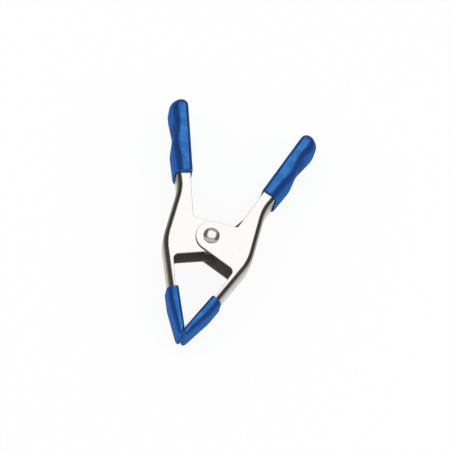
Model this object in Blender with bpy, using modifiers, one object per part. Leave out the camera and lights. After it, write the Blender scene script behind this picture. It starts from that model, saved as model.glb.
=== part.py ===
"""Spring clamp: two pressed steel channel levers on a rivet, closed by a torsion spring.

Metres, +Z up. The clamp lies flat on its face. The rivet's axis is the Z axis, and its tail end
rests at Z = 0. +Y runs from the jaws to the handles, and +X to the right-hand lever.
The left and right levers have mirrored outlines, and the left one nests between the right one's ears.
"""

import math

import bmesh
import bpy
from mathutils import Matrix, Vector

# ---- Channel section of the levers ----
CHANNEL_WIDTH = 0.0215      # over the two cheeks of the outer, right-hand lever
SHEET = 0.0013              # thickness of the steel
BACK_ROUND = 0.0040         # outside radius between the back and a cheek
NEST_GAP = 0.0003           # between an outer and an inner ear

# ---- Outline of a lever's back, from the rivet's axis ----
BACK_REACH = 0.0304         # to the straight middle of the back
HANDLE_BEND_AT = 0.0285     # up to the handle's bend
HANDLE_BEND_ROUND = 0.030
HANDLE_LEAN = 19.6          # degrees from +Y
HANDLE_LENGTH = 0.0627      # from the bend to the handle's end
SWELL_FROM_END = 0.0352     # swell in the palm
SWELL_RISE = 0.0012
HOLLOW_FROM_END = 0.0224    # hollow for the hand
HOLLOW_DEPTH = 0.0014
HEEL_FROM_END = 0.0084      # last swell, which keeps the hand from slipping off
HEEL_RISE = 0.0003
WAVE_ROUND = 0.015
JAW_BEND_AT = 0.0103        # down to the jaw arm's bend
JAW_BEND_ROUND = 0.035
JAW_LEAN = 22.4             # degrees from -Y
JAW_REACH = 0.0685          # from the rivet's axis down to the steel's end
NOSE_HEIGHT = 0.0160        # from the steel's end up to the nose's bend
NOSE_END_DEPTH = 0.0019     # of the channel at the steel's end
NOSE_ROUND = 0.020

# ---- Depth of the channel, from the back to the cheeks' free edge ----
HANDLE_ROOT_DEPTH = 0.0088
HANDLE_END_DEPTH = 0.0098
HANDLE_OUTER_CORNER = 0.0060    # round at the end of the back
HANDLE_INNER_CORNER = 0.0030    # round at the end of the cheeks' free edge
ARM_ROOT_DEPTH = 0.0059     # jaw arm, just below the ear
ARM_ROOT_AT = 0.0095        # where that is, from the jaw arm's bend
ARM_MID_DEPTH = 0.0045
ARM_MID_AT = 0.0305
ARM_MID_ROUND = 0.030

# ---- Ears ----
EAR_RADIUS = 0.0103
EAR_TOP_SLOPE = 2.3         # degrees, rising away from the rivet
EAR_FOOT_SLOPE = 21.5       # degrees, falling away from the rivet
EAR_TOP_FILLET = 0.0016     # ear to handle
EAR_FOOT_FILLET = 0.0035    # ear to jaw arm

# ---- Rivet ----
RIVET_RADIUS = 0.0030
RIVET_HEAD_RADIUS = 0.00535
RIVET_HEAD_HEIGHT = 0.0018
RIVET_RIM_HEIGHT = 0.0006   # straight side of the head, below its dome
RIVET_TAIL_CHAMFER = 0.0004
RIVET_RUNNING_GAP = 0.00015
SEAT_GAP = 0.0003           # between faces that bear on each other

# ---- Spring ----
WIRE_RADIUS = 0.00125
COIL_RADIUS = 0.0058        # to the middle of the wire
COIL_PITCH = 0.0028
COIL_FULL_TURNS = 4         # and the part turn that brings the two legs to their sides
LEG_FOOT_AT = 0.0120        # from the handle's bend to where the leg turns along the back
LEG_FOOT_LENGTH = 0.0060
LEG_FOOT_ROUND = 0.006

# ---- Vinyl sleeves ----
SLEEVE_WALL = 0.0012
SLEEVE_FIT = 0.0003         # between the steel and the vinyl
SLEEVE_EDGE_ROUND = 0.0010  # along the side over the channel's open edge
GRIP_MOUTH_AT = 0.0473      # from the rivet's axis, up the handle
GRIP_END_WALL = 0.0020
TIP_MOUTH_AT = 0.0326       # from the rivet's axis, down the jaw arm
TIP_END_WALL = 0.0030
TIP_CORNER = 0.0012
PAD_LENGTH = 0.0052         # flat gripping face
PAD_GAP = 0.0003            # between the two closed jaws

# ---- Fineness of the solids ----
FLAT_ERROR = 0.00003        # how far a flat may lie from the round that it stands for
BACK_ROUND_CUTS = 3
TURN_FLATS = 40             # round the rivet
DOME_CUTS = 5               # from the rim of the rivet's head to its middle
COIL_FLATS = 20             # points in a turn of the spring
REACH_PAST = 0.020          # how far a cutter runs past what it cuts

# ---- Worked out from the sizes above ----
SLEEVE_STEP = SLEEVE_FIT + SLEEVE_WALL
HALF_CHANNEL = CHANNEL_WIDTH / 2
HALF_INNER_CHANNEL = HALF_CHANNEL - SHEET - NEST_GAP
HALF_THICKNESS = HALF_CHANNEL + SLEEVE_STEP
PAD_STEEL_X = PAD_GAP / 2 + SLEEVE_STEP
JAW_TIP_Y = -(JAW_REACH + SLEEVE_FIT + TIP_END_WALL)

FINISHES = {
    "nickel_plate": ((0.78, 0.77, 0.74), 0.22, 1.0),
    "rivet_steel": ((0.62, 0.61, 0.59), 0.28, 1.0),
    "spring_steel": ((0.14, 0.14, 0.14), 0.40, 1.0),
    "blue_vinyl": ((0.02, 0.12, 0.45), 0.35, 0.0),
}


# ---------------------------------------------------------------- plan geometry

def lean_up(degrees):
    """Unit direction that leans from +Y towards +X."""
    angle = math.radians(degrees)
    return Vector((math.sin(angle), math.cos(angle)))


def lean_down(degrees):
    """Unit direction that leans from -Y towards -X, as a right-hand jaw arm does."""
    return -lean_up(degrees)


def outward(direction):
    """Unit normal to the right of a direction, away from the clamp's middle for one that runs up."""
    return Vector((direction.y, -direction.x))


def meet(point_a, direction_a, point_b, direction_b):
    """Where two lines cross."""
    across = direction_a.cross(direction_b)
    return point_a + direction_a * ((point_b - point_a).cross(direction_b) / across)


def rounded(corners, closed=True):
    """Points of an outline from its corners, each (place, radius of its round)."""
    points = []
    count = len(corners)
    for index, (place, radius) in enumerate(corners):
        is_end = not closed and index in (0, count - 1)
        if is_end or radius <= 0:
            points.append(place)
            continue
        before = (place - corners[index - 1][0]).normalized()
        after = (corners[(index + 1) % count][0] - place).normalized()
        turn = before.angle_signed(after)
        setback = radius * math.tan(abs(turn) / 2)
        start = place - before * setback
        centre = start + outward(before) * math.copysign(radius, turn)
        flat_angle = 2 * math.acos(1 - min(FLAT_ERROR / radius, 0.1))
        flats = max(2, math.ceil(abs(turn) / flat_angle))
        for number in range(flats + 1):
            points.append(centre + Matrix.Rotation(-turn * number / flats, 2) @ (start - centre))
    return points


def shifted(corners, distance, closed=True):
    """The same outline moved sideways, to the right of its run, with its rounds kept concentric."""
    count = len(corners)
    moved = []
    for index, (place, radius) in enumerate(corners):
        has_before = closed or index > 0
        has_after = closed or index < count - 1
        before = (place - corners[index - 1][0]).normalized() if has_before else None
        after = (corners[(index + 1) % count][0] - place).normalized() if has_after else None
        if before is None or after is None:
            moved.append((place + outward(after or before) * distance, radius))
            continue
        turn = before.angle_signed(after)
        if abs(turn) < 1e-6:
            moved.append((place + outward(before) * distance, radius))
            continue
        corner = meet(place + outward(before) * distance, before,
                      place + outward(after) * distance, after)
        moved.append((corner, max(0.0, radius - math.copysign(distance, turn)) if radius > 0 else 0.0))
    return moved


# ---------------------------------------------------------------- outline of the right-hand lever

HANDLE_BEND = Vector((BACK_REACH, HANDLE_BEND_AT))
JAW_BEND = Vector((BACK_REACH, -JAW_BEND_AT))
HANDLE_UP = lean_up(HANDLE_LEAN)
JAW_DOWN = lean_down(JAW_LEAN)
NOSE_BEND = JAW_BEND + JAW_DOWN * ((JAW_REACH - NOSE_HEIGHT - JAW_BEND_AT) / -JAW_DOWN.y)
NOSE_END = Vector((PAD_STEEL_X + NOSE_END_DEPTH, -JAW_REACH))
NOSE_DOWN = (NOSE_END - NOSE_BEND).normalized()


def on_handle(station, rise=0.0):
    """A point of the handle's back: distance up from the bend, and distance out of the straight line."""
    return HANDLE_BEND + HANDLE_UP * station + outward(HANDLE_UP) * rise


def on_jaw(station, depth=0.0):
    """A point of the jaw arm: distance down from its bend, and depth in from the back."""
    return JAW_BEND + JAW_DOWN * station + outward(JAW_DOWN) * depth


def back_corners(extra_handle=0.0, extra_jaw=0.0):
    """The line of the lever's back, from the jaw's end up to the handle's end."""
    return [
        (NOSE_END + NOSE_DOWN * (extra_jaw / -NOSE_DOWN.y), 0.0),
        (NOSE_BEND, NOSE_ROUND),
        (JAW_BEND, JAW_BEND_ROUND),
        (HANDLE_BEND, HANDLE_BEND_ROUND),
        (on_handle(HANDLE_LENGTH - SWELL_FROM_END, SWELL_RISE), WAVE_ROUND),
        (on_handle(HANDLE_LENGTH - HOLLOW_FROM_END, -HOLLOW_DEPTH), WAVE_ROUND),
        (on_handle(HANDLE_LENGTH - HEEL_FROM_END, HEEL_RISE), WAVE_ROUND),
        (on_handle(HANDLE_LENGTH + extra_handle, HEEL_RISE), 0.0),
    ]


def handle_inner_edge():
    """The cheeks' free edge along the handle, as a point and a direction up it."""
    root = on_handle(0.0, -HANDLE_ROOT_DEPTH)
    end = on_handle(HANDLE_LENGTH, -HANDLE_END_DEPTH)
    return root, (end - root).normalized()


def handle_end_corners(extra=0.0):
    """The two corners of the handle's end, outer then inner."""
    root, up = handle_inner_edge()
    outer = on_handle(HANDLE_LENGTH + extra, HEEL_RISE)
    inner = meet(root, up, outer, outward(HANDLE_UP))
    return [(outer, HANDLE_OUTER_CORNER), (inner, HANDLE_INNER_CORNER)]


def jaw_inner_corners(extra=0.0):
    """The cheeks' free edge along the jaw, from its end up to the arm's middle."""
    end_y = -(JAW_REACH + extra)
    pad_top = Vector((PAD_STEEL_X, JAW_TIP_Y + PAD_LENGTH))
    return [
        (Vector((PAD_STEEL_X, end_y)), 0.0),
        (pad_top, 0.0),
        (on_jaw(ARM_MID_AT, ARM_MID_DEPTH), ARM_MID_ROUND),
    ]


def ear_corners():
    """The corners from the handle round the ear to the jaw arm. The ear's round end is one of them."""
    top_run = Vector((math.cos(math.radians(EAR_TOP_SLOPE)), math.sin(math.radians(EAR_TOP_SLOPE))))
    foot_run = Vector((math.cos(math.radians(EAR_FOOT_SLOPE)), -math.sin(math.radians(EAR_FOOT_SLOPE))))
    top_point = -outward(top_run) * EAR_RADIUS
    foot_point = outward(foot_run) * EAR_RADIUS
    handle_root, handle_up = handle_inner_edge()
    arm_root = on_jaw(ARM_ROOT_AT, ARM_ROOT_DEPTH)
    arm_run = (on_jaw(ARM_MID_AT, ARM_MID_DEPTH) - arm_root).normalized()
    return [
        (meet(handle_root, handle_up, top_point, top_run), EAR_TOP_FILLET),
        (meet(top_point, top_run, foot_point, foot_run), EAR_RADIUS),
        (meet(foot_point, foot_run, arm_root, arm_run), EAR_FOOT_FILLET),
    ]


def lever_outline():
    """The whole plan of a lever, counter-clockwise. Its back stands proud of the bar that it trims."""
    back = shifted(back_corners(), 2 * FLAT_ERROR, closed=False)
    corners = back[:-1] + handle_end_corners() + ear_corners() + jaw_inner_corners()[::-1]
    return rounded(corners)


def bar_outline(shift=0.0):
    """The back's line, run past both ends and closed far inside, for a bar that fills the lever's place."""
    back = shifted(back_corners(REACH_PAST, REACH_PAST), shift, closed=False)
    points = rounded(back, closed=False)
    inboard = -(BACK_REACH + REACH_PAST)
    return points + [Vector((inboard, points[-1].y)), Vector((inboard, points[0].y))]


def grip_outline(shift, extra):
    """The plan of the handle's sleeve or of its hollow, run down past the mouth, and extra longer."""
    back = back_corners()[4:-1]
    low = [(on_handle(0.0, -HANDLE_ROOT_DEPTH), 0.0), (on_handle(0.0), 0.0)]
    corners = low + back + handle_end_corners(extra)
    return rounded(shifted(corners, shift))


def tip_outline(shift, extra):
    """The plan of the jaw's sleeve or of its hollow, run up past the mouth, and extra longer."""
    back = back_corners(0.0, extra)[:2]
    top = [(on_jaw(ARM_ROOT_AT), 0.0), (on_jaw(ARM_ROOT_AT, ARM_ROOT_DEPTH), 0.0)]
    corners = shifted(back + top + jaw_inner_corners(extra)[::-1], shift)
    corner = TIP_CORNER if extra > 0 else 0.0
    corners[0] = (corners[0][0], corner)
    corners[-1] = (corners[-1][0], corner)
    return rounded(corners)


# ---------------------------------------------------------------- making objects

def new_collection(name):
    collection = bpy.data.collections.new(name)
    bpy.context.scene.collection.children.link(collection)
    return collection


def new_material(name):
    colour, roughness, metallic = FINISHES[name]
    material = bpy.data.materials.new(name)
    material.use_nodes = True
    shader = material.node_tree.nodes["Principled BSDF"]
    shader.inputs["Base Color"].default_value = (*colour, 1.0)
    shader.inputs["Roughness"].default_value = roughness
    shader.inputs["Metallic"].default_value = metallic
    material.diffuse_color = (*colour, 1.0)
    return material


def move_to(obj, collection):
    for old in list(obj.users_collection):
        old.objects.unlink(obj)
    collection.objects.link(obj)


def mesh_from_curve(curve_object):
    """Turn a curve object into a mesh object of the same name and place, with its caps welded on."""
    name = curve_object.name
    evaluated = curve_object.evaluated_get(bpy.context.evaluated_depsgraph_get())
    mesh = bpy.data.meshes.new_from_object(evaluated)
    build = bmesh.new()
    build.from_mesh(mesh)
    bmesh.ops.remove_doubles(build, verts=build.verts, dist=0.000005)
    bmesh.ops.dissolve_degenerate(build, edges=build.edges, dist=0.000005)
    bmesh.ops.recalc_face_normals(build, faces=build.faces)
    build.to_mesh(mesh)
    build.free()
    place = curve_object.matrix_world.copy()
    curve = curve_object.data
    bpy.data.objects.remove(curve_object)
    bpy.data.curves.remove(curve)
    made = bpy.data.objects.new(name, mesh)
    made.matrix_world = place
    return made


def plate(name, outline, half_width, edge_round=0.0, side=1):
    """A flat outline extruded to both sides of the middle plane, with its two rims rounded.

    side is 1 for the right-hand lever and -1 for its mirror image."""
    points = [(side * point.x, point.y) for point in outline][::side]
    curve = bpy.data.curves.new(name, "CURVE")
    curve.dimensions = "2D"
    curve.fill_mode = "BOTH"
    curve.extrude = half_width - edge_round
    curve.bevel_depth = edge_round
    curve.bevel_resolution = BACK_ROUND_CUTS
    curve.offset = -edge_round
    spline = curve.splines.new("POLY")
    spline.points.add(len(points) - 1)
    for target, (x, y) in zip(spline.points, points):
        target.co = (x, y, 0.0, 1.0)
    spline.use_cyclic_u = True
    curve_object = bpy.data.objects.new(name, curve)
    bpy.context.scene.collection.objects.link(curve_object)
    return mesh_from_curve(curve_object)


def combine(target, operation, tool):
    modifier = target.modifiers.new(f"{operation.lower()} {tool.name}", "BOOLEAN")
    modifier.operation = operation
    modifier.object = tool


def finish_piece(obj, collection, empty, material):
    """Put a made object among the parts, on the rivet's axis, with its material."""
    move_to(obj, collection)
    obj.parent = empty
    obj.data.materials.clear()
    obj.data.materials.append(material)
    obj.data.shade_smooth()
    obj.data.set_sharp_from_angle(angle=math.radians(35))
    return obj


def finish_cutter(obj, collection, empty):
    move_to(obj, collection)
    obj.parent = empty
    obj.hide_render = True
    obj.display_type = "WIRE"
    return obj


# ---------------------------------------------------------------- pieces

def make_lever(name, side, half_width, parts, cutters, empty, material):
    """A channel lever: a bar with a rounded back, trimmed to the plan, hollowed and drilled."""
    lever = plate(name, bar_outline(), half_width, BACK_ROUND, side)
    trim = plate(f"{name}_plan", lever_outline(), half_width + REACH_PAST, side=side)
    hollow = plate(f"{name}_hollow", bar_outline(-SHEET), half_width - SHEET, BACK_ROUND - SHEET, side)
    bpy.ops.mesh.primitive_cylinder_add(
        vertices=TURN_FLATS, radius=RIVET_RADIUS + RIVET_RUNNING_GAP, depth=2 * (half_width + REACH_PAST))
    drill = bpy.context.object
    drill.name = f"{name}_rivet_hole"
    for tool in (trim, hollow, drill):
        finish_cutter(tool, cutters, empty)
    combine(lever, "INTERSECT", trim)
    combine(lever, "DIFFERENCE", hollow)
    combine(lever, "DIFFERENCE", drill)
    return finish_piece(lever, parts, empty, material)


def make_sleeve(name, side, half_channel, kind, parts, cutters, empty, material):
    """A vinyl sleeve over one end of a lever, hollow to the steel's outside and open at its mouth.

    kind is its plan as outline(shift, extra at the end), its end wall, and its mouth's distance from
    the rivet's axis and direction."""
    outline, end_wall, mouth_at, direction = kind
    sleeve = plate(name, outline(SLEEVE_STEP, end_wall - SLEEVE_WALL), HALF_THICKNESS,
                   SLEEVE_EDGE_ROUND, side)
    back = plate(f"{name}_back", bar_outline(SLEEVE_STEP), HALF_THICKNESS, BACK_ROUND + SLEEVE_STEP, side)
    hollow = plate(f"{name}_hollow", bar_outline(SLEEVE_FIT), half_channel + SLEEVE_FIT,
                   BACK_ROUND + SLEEVE_FIT, side)
    hollow_plan = plate(f"{name}_hollow_plan", outline(SLEEVE_FIT, 0.0), HALF_THICKNESS, side=side)
    combine(hollow, "INTERSECT", hollow_plan)
    away = Vector((side * direction.x, direction.y))
    block = BACK_REACH + mouth_at
    middle = away * (mouth_at - block)
    bpy.ops.mesh.primitive_cube_add(
        size=2 * block, location=(middle.x, middle.y, 0.0),
        rotation=(0.0, 0.0, math.atan2(away.y, away.x)))
    mouth_cut = bpy.context.object
    mouth_cut.name = f"{name}_mouth"
    for tool in (back, hollow, hollow_plan, mouth_cut):
        finish_cutter(tool, cutters, empty)
    combine(sleeve, "INTERSECT", back)
    combine(sleeve, "DIFFERENCE", hollow)
    combine(sleeve, "DIFFERENCE", mouth_cut)
    return finish_piece(sleeve, parts, empty, material)


def make_rivet(parts, empty, material):
    """The rivet: a low domed head in front, a shank through both pairs of ears, and a flat tail."""
    seat = HALF_CHANNEL + SEAT_GAP
    dome_top = seat + RIVET_HEAD_HEIGHT
    rim = seat + RIVET_RIM_HEIGHT
    tail_end = -HALF_THICKNESS
    profile = [(0.0, dome_top)]
    for number in range(1, DOME_CUTS + 1):
        angle = math.radians(90 * number / DOME_CUTS)
        profile.append((RIVET_HEAD_RADIUS * math.sin(angle),
                        rim + (dome_top - rim) * math.cos(angle)))
    profile += [
        (RIVET_HEAD_RADIUS, seat),
        (RIVET_RADIUS, seat),
        (RIVET_RADIUS, -seat),
        (RIVET_HEAD_RADIUS, -seat),
        (RIVET_HEAD_RADIUS, tail_end + RIVET_TAIL_CHAMFER),
        (RIVET_HEAD_RADIUS - RIVET_TAIL_CHAMFER, tail_end),
        (0.0, tail_end),
    ]
    mesh = bpy.data.meshes.new("pivot_rivet")
    mesh.from_pydata([(x, 0.0, z) for x, z in profile],
                     [(number, number + 1) for number in range(len(profile) - 1)], [])
    rivet = bpy.data.objects.new("pivot_rivet", mesh)
    screw = rivet.modifiers.new("turn", "SCREW")
    screw.steps = TURN_FLATS
    screw.render_steps = TURN_FLATS
    screw.use_merge_vertices = True
    screw.merge_threshold = 0.00001
    return finish_piece(rivet, parts, empty, material)


def spring_route():
    """Points along the spring's wire: right foot and leg, the coil from front to back, left leg and foot."""
    foot_depth = -(SHEET + SEAT_GAP + WIRE_RADIUS)
    foot_start = on_handle(LEG_FOOT_AT, foot_depth)
    foot_end = on_handle(LEG_FOOT_AT + LEG_FOOT_LENGTH, foot_depth)
    reach = foot_start.length
    leaves_at = math.atan2(foot_start.y, foot_start.x) - math.acos(COIL_RADIUS / reach)
    tangent = Vector((math.cos(leaves_at), math.sin(leaves_at))) * COIL_RADIUS
    leg = rounded([(foot_end, 0.0), (foot_start, LEG_FOOT_ROUND), (tangent, 0.0)], closed=False)
    part_turn = math.pi + 2 * leaves_at
    sweep = 2 * math.pi * COIL_FULL_TURNS + part_turn
    height = COIL_PITCH * sweep / (2 * math.pi)
    route = [Vector((point.x, point.y, height / 2)) for point in leg[:-1]]
    steps = round(COIL_FLATS * sweep / (2 * math.pi))
    for number in range(steps + 1):
        share = number / steps
        angle = leaves_at - sweep * share
        route.append(Vector((COIL_RADIUS * math.cos(angle), COIL_RADIUS * math.sin(angle),
                             height * (0.5 - share))))
    route += [Vector((-point.x, point.y, -height / 2)) for point in leg[-2::-1]]
    return route


def make_spring(parts, empty, material):
    route = spring_route()
    curve = bpy.data.curves.new("torsion_spring", "CURVE")
    curve.dimensions = "3D"
    curve.bevel_depth = WIRE_RADIUS
    curve.bevel_resolution = 2
    curve.use_fill_caps = True
    spline = curve.splines.new("POLY")
    spline.points.add(len(route) - 1)
    for target, point in zip(spline.points, route):
        target.co = (*point, 1.0)
    curve_object = bpy.data.objects.new("torsion_spring", curve)
    bpy.context.scene.collection.objects.link(curve_object)
    return finish_piece(mesh_from_curve(curve_object), parts, empty, material)


def main():
    for obj in list(bpy.data.objects):
        bpy.data.objects.remove(obj)
    parts = new_collection("spring_clamp")
    cutters = new_collection("cutters")
    materials = {name: new_material(name) for name in FINISHES}

    empty = bpy.data.objects.new("rivet_axis", None)
    empty.location = (0.0, 0.0, HALF_THICKNESS)
    parts.objects.link(empty)

    grip = (grip_outline, GRIP_END_WALL, GRIP_MOUTH_AT, handle_inner_edge()[1])
    tip = (tip_outline, TIP_END_WALL, TIP_MOUTH_AT, JAW_DOWN)
    sides = (("right", 1, HALF_CHANNEL), ("left", -1, HALF_INNER_CHANNEL))
    for hand, side, half_width in sides:
        make_lever(f"{hand}_lever", side, half_width, parts, cutters, empty, materials["nickel_plate"])
        make_sleeve(f"{hand}_grip", side, half_width, grip,
                    parts, cutters, empty, materials["blue_vinyl"])
        make_sleeve(f"{hand}_jaw_tip", side, half_width, tip,
                    parts, cutters, empty, materials["blue_vinyl"])
    make_rivet(parts, empty, materials["rivet_steel"])
    make_spring(parts, empty, materials["spring_steel"])


main()
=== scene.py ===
# %% [markdown]
# # A spring clamp
#
# A spring clamp holds glued parts together while they dry. Two pressed steel levers turn on one
# rivet. A coiled spring between them keeps the jaws shut, and squeezing the handles opens them.
# The handles and the jaws wear sleeves of soft blue vinyl, for the hand and for the work.
#
# The clamp already exists as a plain CAD model. This lesson dresses it: each plain solid is
# replaced by a piece with the bends, lips and finish of the real one, in the same place and size.

# %% Load the plain model
import math
from contextlib import contextmanager

import bmesh
import bpy
from mathutils import Matrix, Vector


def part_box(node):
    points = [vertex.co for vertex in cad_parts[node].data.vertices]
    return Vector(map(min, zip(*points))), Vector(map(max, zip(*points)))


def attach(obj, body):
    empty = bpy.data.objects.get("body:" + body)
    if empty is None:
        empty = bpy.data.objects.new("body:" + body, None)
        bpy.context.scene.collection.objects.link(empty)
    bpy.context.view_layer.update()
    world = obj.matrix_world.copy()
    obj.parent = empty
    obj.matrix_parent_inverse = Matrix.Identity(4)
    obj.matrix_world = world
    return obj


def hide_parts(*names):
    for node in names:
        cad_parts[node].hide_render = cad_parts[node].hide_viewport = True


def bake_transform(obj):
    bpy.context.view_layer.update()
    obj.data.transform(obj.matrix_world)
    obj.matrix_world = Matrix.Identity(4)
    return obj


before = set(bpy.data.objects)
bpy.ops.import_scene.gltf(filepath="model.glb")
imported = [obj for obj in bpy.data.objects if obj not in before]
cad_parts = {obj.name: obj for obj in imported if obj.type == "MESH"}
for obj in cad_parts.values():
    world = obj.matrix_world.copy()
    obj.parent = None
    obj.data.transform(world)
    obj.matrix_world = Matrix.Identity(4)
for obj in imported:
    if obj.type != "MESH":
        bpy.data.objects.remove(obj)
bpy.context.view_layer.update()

print("nodes:", ", ".join(sorted(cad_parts)))

# %% [markdown]
# ## The sizes that shape every piece
#
# The CAD model gives the outer boxes, but not the bends between them. So the lesson states the few
# sizes that a toolmaker would put on the drawing, in millimetres, and measures the rest from the
# model's own boxes. The rivet's axis is the Z axis, and the jaws point down the page, along -Y.

# %% Sizes of the steel
MM = 0.001
MIDDLE_Z = (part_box("right_grip")[0].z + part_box("right_grip")[1].z) / 2
SHEET = 1.3 * MM
SEAT_GAP = 0.3 * MM        # between parts that bear on each other
BACK_ROUND = 4.0 * MM
BACK_REACH = 30.4 * MM
HANDLE_BEND_AT = 28.5 * MM
HANDLE_BEND_ROUND = 30.0 * MM
HANDLE_LEAN = math.radians(19.6)
HANDLE_LENGTH = 62.7 * MM
# The wave for the hand: how far each corner is from the handle's end, and how far it stands out.
WAVE = ((35.2 * MM, 1.2 * MM), (22.4 * MM, -1.4 * MM), (8.4 * MM, 0.3 * MM))
WAVE_ROUND = 15.0 * MM
HEEL_RISE = WAVE[-1][1]
JAW_BEND_AT = 10.3 * MM
JAW_BEND_ROUND = 35.0 * MM
JAW_LEAN = math.radians(22.4)
JAW_REACH = 68.5 * MM
NOSE_HEIGHT = 16.0 * MM
NOSE_END_DEPTH = 1.9 * MM
NOSE_ROUND = 20.0 * MM

SIDES = {"left": -1, "right": 1}
half_channel = {hand: (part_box(f"{hand}_lever")[1].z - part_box(f"{hand}_lever")[0].z) / 2
                for hand in SIDES}
print("half widths of the channels in mm:",
      {hand: round(half / MM, 2) for hand, half in half_channel.items()})

# %% Sizes of the cheeks, the ears and the sleeves
HANDLE_ROOT_DEPTH = 8.8 * MM
HANDLE_END_DEPTH = 9.8 * MM
HANDLE_OUTER_CORNER = 6.0 * MM
HANDLE_INNER_CORNER = 3.0 * MM
ARM_ROOT = (9.5 * MM, 5.9 * MM)      # down the jaw arm, depth
ARM_MID = (30.5 * MM, 4.5 * MM)
ARM_MID_ROUND = 30.0 * MM
EAR_RADIUS = 10.3 * MM
EAR_TOP_SLOPE = math.radians(2.3)
EAR_FOOT_SLOPE = math.radians(21.5)
EAR_TOP_FILLET = 1.6 * MM
EAR_FOOT_FILLET = 3.5 * MM
HOLE_RADIUS = 3.15 * MM
SLEEVE_WALL = 1.2 * MM
SLEEVE_FIT = 0.3 * MM
SLEEVE_STEP = SLEEVE_WALL + SLEEVE_FIT
GRIP_MOUTH_AT = 47.3 * MM
TIP_MOUTH_AT = 32.6 * MM
PAD_LENGTH = 5.2 * MM
TIP_END_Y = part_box("right_jaw_tip")[0].y
PAD_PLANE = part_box("right_jaw_tip")[0].x
PAD_STEEL_X = PAD_PLANE + SLEEVE_STEP
print("the steel under a closed pad lies", round(PAD_STEEL_X / MM, 2), "mm from the middle")

# %% [markdown]
# ## Drawing an outline
#
# The plan of a lever is straight runs joined by rounds. A draughtsman lists the sharp corners and
# the radius at each. From that list the runs can be drawn by hand: extrude a point along a straight
# run, then spin it about the centre of the next round. It stays exact, and it is drawn anew when a
# size changes. The corners come first, for the right-hand lever. The left one mirrors it.


# %% Directions and the two bends
def lean_up(angle):
    return Vector((math.sin(angle), math.cos(angle)))


def outward(direction):
    """The way to the right of a run."""
    return Vector((direction.y, -direction.x))


def meet(point_a, run_a, point_b, run_b):
    """Where two straight runs cross."""
    return point_a + run_a * ((point_b - point_a).cross(run_b) / run_a.cross(run_b))


HANDLE_BEND = Vector((BACK_REACH, HANDLE_BEND_AT))
JAW_BEND = Vector((BACK_REACH, -JAW_BEND_AT))
HANDLE_UP = lean_up(HANDLE_LEAN)
JAW_DOWN = -lean_up(JAW_LEAN)
NOSE_BEND = JAW_BEND + JAW_DOWN * ((JAW_REACH - NOSE_HEIGHT - JAW_BEND_AT) / -JAW_DOWN.y)
NOSE_END = Vector((PAD_STEEL_X + NOSE_END_DEPTH, -JAW_REACH))
NOSE_DOWN = (NOSE_END - NOSE_BEND).normalized()
print("the nose bends at", [round(value / MM, 1) for value in NOSE_BEND], "mm")


# %% Corners of the back
def on_handle(station, rise=0.0):
    """A place up the handle from its bend, and out from its straight back."""
    return HANDLE_BEND + HANDLE_UP * station + outward(HANDLE_UP) * rise


def on_jaw(station, depth=0.0):
    """A place down the jaw arm from its bend, and in from its back."""
    return JAW_BEND + JAW_DOWN * station + outward(JAW_DOWN) * depth


def back_corners(past_handle=0.0, past_jaw=0.0):
    """The line of the back, from the jaw's end up to the handle's end."""
    waves = [(on_handle(HANDLE_LENGTH - station, rise), WAVE_ROUND) for station, rise in WAVE]
    return ([(NOSE_END + NOSE_DOWN * (past_jaw / -NOSE_DOWN.y), 0.0), (NOSE_BEND, NOSE_ROUND),
             (JAW_BEND, JAW_BEND_ROUND), (HANDLE_BEND, HANDLE_BEND_ROUND)] + waves
            + [(on_handle(HANDLE_LENGTH + past_handle, HEEL_RISE), 0.0)])


print("the handle ends at", [round(value / MM, 1) for value in on_handle(HANDLE_LENGTH)], "mm")

# %% Corners of the cheeks
handle_root = on_handle(0.0, -HANDLE_ROOT_DEPTH)
HANDLE_EDGE_UP = (on_handle(HANDLE_LENGTH, -HANDLE_END_DEPTH) - handle_root).normalized()


def handle_end_corners():
    outer = on_handle(HANDLE_LENGTH, HEEL_RISE)
    inner = meet(handle_root, HANDLE_EDGE_UP, outer, outward(HANDLE_UP))
    return [(outer, HANDLE_OUTER_CORNER), (inner, HANDLE_INNER_CORNER)]


def jaw_inner_corners(past=0.0):
    """The free edge of the jaw's cheeks, from its end up to the middle of the arm."""
    return [(Vector((PAD_STEEL_X, -JAW_REACH - past)), 0.0),
            (Vector((PAD_STEEL_X, TIP_END_Y + PAD_LENGTH)), 0.0),
            (on_jaw(*ARM_MID), ARM_MID_ROUND)]


def ear_corners():
    """From the handle round the ear to the jaw arm."""
    top_run = Vector((math.cos(EAR_TOP_SLOPE), math.sin(EAR_TOP_SLOPE)))
    foot_run = Vector((math.cos(EAR_FOOT_SLOPE), -math.sin(EAR_FOOT_SLOPE)))
    top, foot = -outward(top_run) * EAR_RADIUS, outward(foot_run) * EAR_RADIUS
    arm_root = on_jaw(*ARM_ROOT)
    arm_run = (on_jaw(*ARM_MID) - arm_root).normalized()
    return [(meet(handle_root, HANDLE_EDGE_UP, top, top_run), EAR_TOP_FILLET),
            (meet(top, top_run, foot, foot_run), EAR_RADIUS),
            (meet(foot, foot_run, arm_root, arm_run), EAR_FOOT_FILLET)]


print("corners of the ear in mm:",
      [[round(value / MM, 1) for value in place] for place, radius in ear_corners()])

# %% Move a whole outline sideways
STRAIGHT = 1e-6            # radians, less than any real turn


def shifted(corners, distance, closed=True):
    """The same outline, moved to the right of its run, with its rounds kept concentric."""
    moved = []
    for index, (place, radius) in enumerate(corners):
        before = after = None
        if closed or index > 0:
            before = (place - corners[index - 1][0]).normalized()
        if closed or index < len(corners) - 1:
            after = (corners[(index + 1) % len(corners)][0] - place).normalized()
        turn = before.angle_signed(after) if before and after else 0.0
        if abs(turn) < STRAIGHT:
            moved.append((place + outward(after or before) * distance, radius))
            continue
        corner = meet(place + outward(before) * distance, before,
                      place + outward(after) * distance, after)
        rounder = max(0.0, radius - math.copysign(distance, turn)) if radius else 0.0
        moved.append((corner, rounder))
    return moved


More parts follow.
